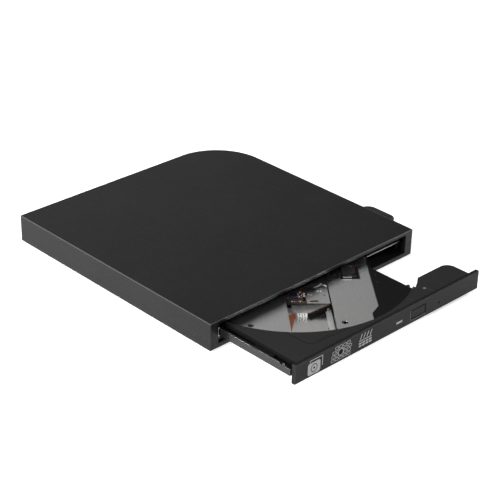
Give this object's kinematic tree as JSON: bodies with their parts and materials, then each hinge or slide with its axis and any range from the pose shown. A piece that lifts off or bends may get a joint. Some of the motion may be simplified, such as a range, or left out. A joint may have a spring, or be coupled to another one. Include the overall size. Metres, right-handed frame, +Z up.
{
  "type": "external optical drive",
  "caption": "Slim external disc drive: a flat two-shell case holding a pull-out disc tray on telescopic slides, with a captive USB lead stowed in a groove round its edge.",
  "frame": {"origin": "middle of the whole object's box at rest, at the level the rubber feet stand on", "axes": "+Y from the tray's bezel to the back of the case, +Z up from the feet, +X to the right as seen from the front, towards the docked plug"},
  "size_m": [0.154, 0.1906, 0.015],
  "materials": {
    "top_shell": "fine grained moulded",
    "bottom_shell": "fine grained moulded",
    "rubber_feet": "matte",
    "case_screws": "zinc plated",
    "bridge_board": "solder mask",
    "bridge_chips": "moulded epoxy",
    "sata_socket": "moulded",
    "cable_clamp": "matte",
    "usb_cable": "satin sheath",
    "usb_plug_grip": "soft overmould",
    "usb_plug_shell": "bright nickel plated",
    "usb_plug_tongue": "moulded",
    "drive_bottom_cover": "galvanised sheet",
    "drive_top_cover": "galvanised sheet",
    "left_guide_rail": "zinc plated",
    "right_guide_rail": "zinc plated",
    "latch_post": "zinc plated",
    "rear_board": "solder mask",
    "drive_sata_plug": "moulded",
    "fixed_ribbon": "polyimide film",
    "left_slide_rail": "satin",
    "right_slide_rail": "satin",
    "tray": "fine grained moulded",
    "bezel": "satin moulded",
    "light_pipe": "frosted",
    "tray_bottom_plate": "bright rolled",
    "left_shield": "satin rolled",
    "middle_shield": "satin rolled",
    "traverse_frame": "black e-coat",
    "guide_rods": "ground",
    "feed_motor": "moulded with steel can",
    "spindle_motor": "satin",
    "tray_board": "solder mask",
    "tray_chips": "moulded epoxy",
    "tray_ribbon": "polyimide film",
    "pickup_ribbon": "polyimide film",
    "ribbon_connectors": "moulded",
    "ribbon_socket": "moulded with copper contacts",
    "eject_switch": "moulded",
    "solenoid": "enamelled copper winding",
    "dampers": "matte",
    "tray_screws": "zinc plated",
    "wing_rivet": "polished",
    "eject_button": "satin moulded",
    "turntable": "moulded with rubber ring",
    "chuck_claw_1": "acetal",
    "chuck_claw_2": "acetal",
    "chuck_claw_3": "acetal",
    "pickup_sled": "black die casting",
    "pickup_board": "solder mask",
    "lens_holder": "moulded",
    "objective_lens": "coated",
    "lead_screw": "rolled thread",
    "latch_lever": "acetal",
    "solenoid_plunger": "ground"
  },
  "bodies": {
    "case": {"top_shell": "top_shell", "bottom_shell": "bottom_shell", "rubber_feet": "rubber_feet", "case_screws": "case_screws", "bridge_board": "bridge_board", "bridge_chips": "bridge_chips", "sata_socket": "sata_socket", "cable_clamp": "cable_clamp", "usb_cable": "usb_cable", "usb_plug_grip": "usb_plug_grip", "usb_plug_shell": "usb_plug_shell", "usb_plug_tongue": "usb_plug_tongue", "drive_bottom_cover": "drive_bottom_cover", "drive_top_cover": "drive_top_cover", "left_guide_rail": "left_guide_rail", "right_guide_rail": "right_guide_rail", "latch_post": "latch_post", "rear_board": "rear_board", "drive_sata_plug": "drive_sata_plug", "fixed_ribbon": "fixed_ribbon"},
    "left_rail": {"left_slide_rail": "left_slide_rail"},
    "right_rail": {"right_slide_rail": "right_slide_rail"},
    "tray": {"tray": "tray", "bezel": "bezel", "light_pipe": "light_pipe", "tray_bottom_plate": "tray_bottom_plate", "left_shield": "left_shield", "middle_shield": "middle_shield", "traverse_frame": "traverse_frame", "guide_rods": "guide_rods", "feed_motor": "feed_motor", "spindle_motor": "spindle_motor", "tray_board": "tray_board", "tray_chips": "tray_chips", "tray_ribbon": "tray_ribbon", "pickup_ribbon": "pickup_ribbon", "ribbon_connectors": "ribbon_connectors", "ribbon_socket": "ribbon_socket", "eject_switch": "eject_switch", "solenoid": "solenoid", "dampers": "dampers", "tray_screws": "tray_screws", "wing_rivet": "wing_rivet"},
    "eject_button": {"eject_button": "eject_button"},
    "turntable": {"turntable": "turntable"},
    "claw_1": {"chuck_claw_1": "chuck_claw_1"},
    "claw_2": {"chuck_claw_2": "chuck_claw_2"},
    "claw_3": {"chuck_claw_3": "chuck_claw_3"},
    "sled": {"pickup_sled": "pickup_sled", "pickup_board": "pickup_board"},
    "lens": {"lens_holder": "lens_holder", "objective_lens": "objective_lens"},
    "lead_screw": {"lead_screw": "lead_screw"},
    "latch": {"latch_lever": "latch_lever"},
    "plunger": {"solenoid_plunger": "solenoid_plunger"}
  },
  "joints": [
    {"name": "left_rail_slide", "type": "slide", "parent": "case", "child": "left_rail", "axis": [0, -1, 0], "range_m": [-0.0476, 0.022]},
    {"name": "right_rail_slide", "type": "slide", "parent": "case", "child": "right_rail", "axis": [0, -1, 0], "range_m": [-0.0476, 0.022]},
    {"name": "tray_slide", "type": "slide", "parent": "left_rail", "child": "tray", "axis": [0, -1, 0], "range_m": [0, 0.065]},
    {"name": "eject_button_press", "type": "slide", "parent": "tray", "child": "eject_button", "axis": [0, 1, 0], "range_m": [0, 0.0006], "stiffness_N_per_m": 600},
    {"name": "turntable_spin", "type": "hinge", "parent": "tray", "child": "turntable", "pos_m": [-0.007, -0.0289, 0.0098], "axis": [0, 0, 1], "continuous": true},
    {"name": "claw_1_press", "type": "slide", "parent": "turntable", "child": "claw_1", "axis": [0, -1, 0], "range_m": [0, 0.0005], "stiffness_N_per_m": 200},
    {"name": "claw_2_press", "type": "slide", "parent": "turntable", "child": "claw_2", "axis": [0.866, 0.5, 0], "range_m": [0, 0.0005], "stiffness_N_per_m": 200},
    {"name": "claw_3_press", "type": "slide", "parent": "turntable", "child": "claw_3", "axis": [-0.866, 0.5, 0], "range_m": [0, 0.0005], "stiffness_N_per_m": 200},
    {"name": "sled_slide", "type": "slide", "parent": "tray", "child": "sled", "axis": [-0.6428, -0.766, 0], "range_m": [-0.001, 0.031]},
    {"name": "lens_focus", "type": "slide", "parent": "sled", "child": "lens", "axis": [0, 0, 1], "range_m": [-0.0004, 0.0004], "stiffness_N_per_m": 60},
    {"name": "lead_screw_turn", "type": "hinge", "parent": "tray", "child": "lead_screw", "pos_m": [0.00236, -0.06286, 0.0072], "axis": [-0.6428, -0.766, 0], "range_deg": [-120, 3720]},
    {"name": "latch_turn", "type": "hinge", "parent": "tray", "child": "latch", "pos_m": [0.0274, -0.0873, 0.0066], "axis": [0, 0, 1], "range_deg": [-7.01, 2.01]},
    {"name": "plunger_slide", "type": "slide", "parent": "tray", "child": "plunger", "axis": [-1, 0, 0], "range_m": [-0.00077, 0.00022], "stiffness_N_per_m": 50}
  ],
  "couplings": [
    {"joint": "right_rail_slide", "follows": "left_rail_slide", "ratio": 1},
    {"joint": "lead_screw_turn", "follows": "sled_slide", "rad_per_m": 2094.4},
    {"joint": "latch_turn", "follows": "plunger_slide", "rad_per_m": 158.73}
  ]
}
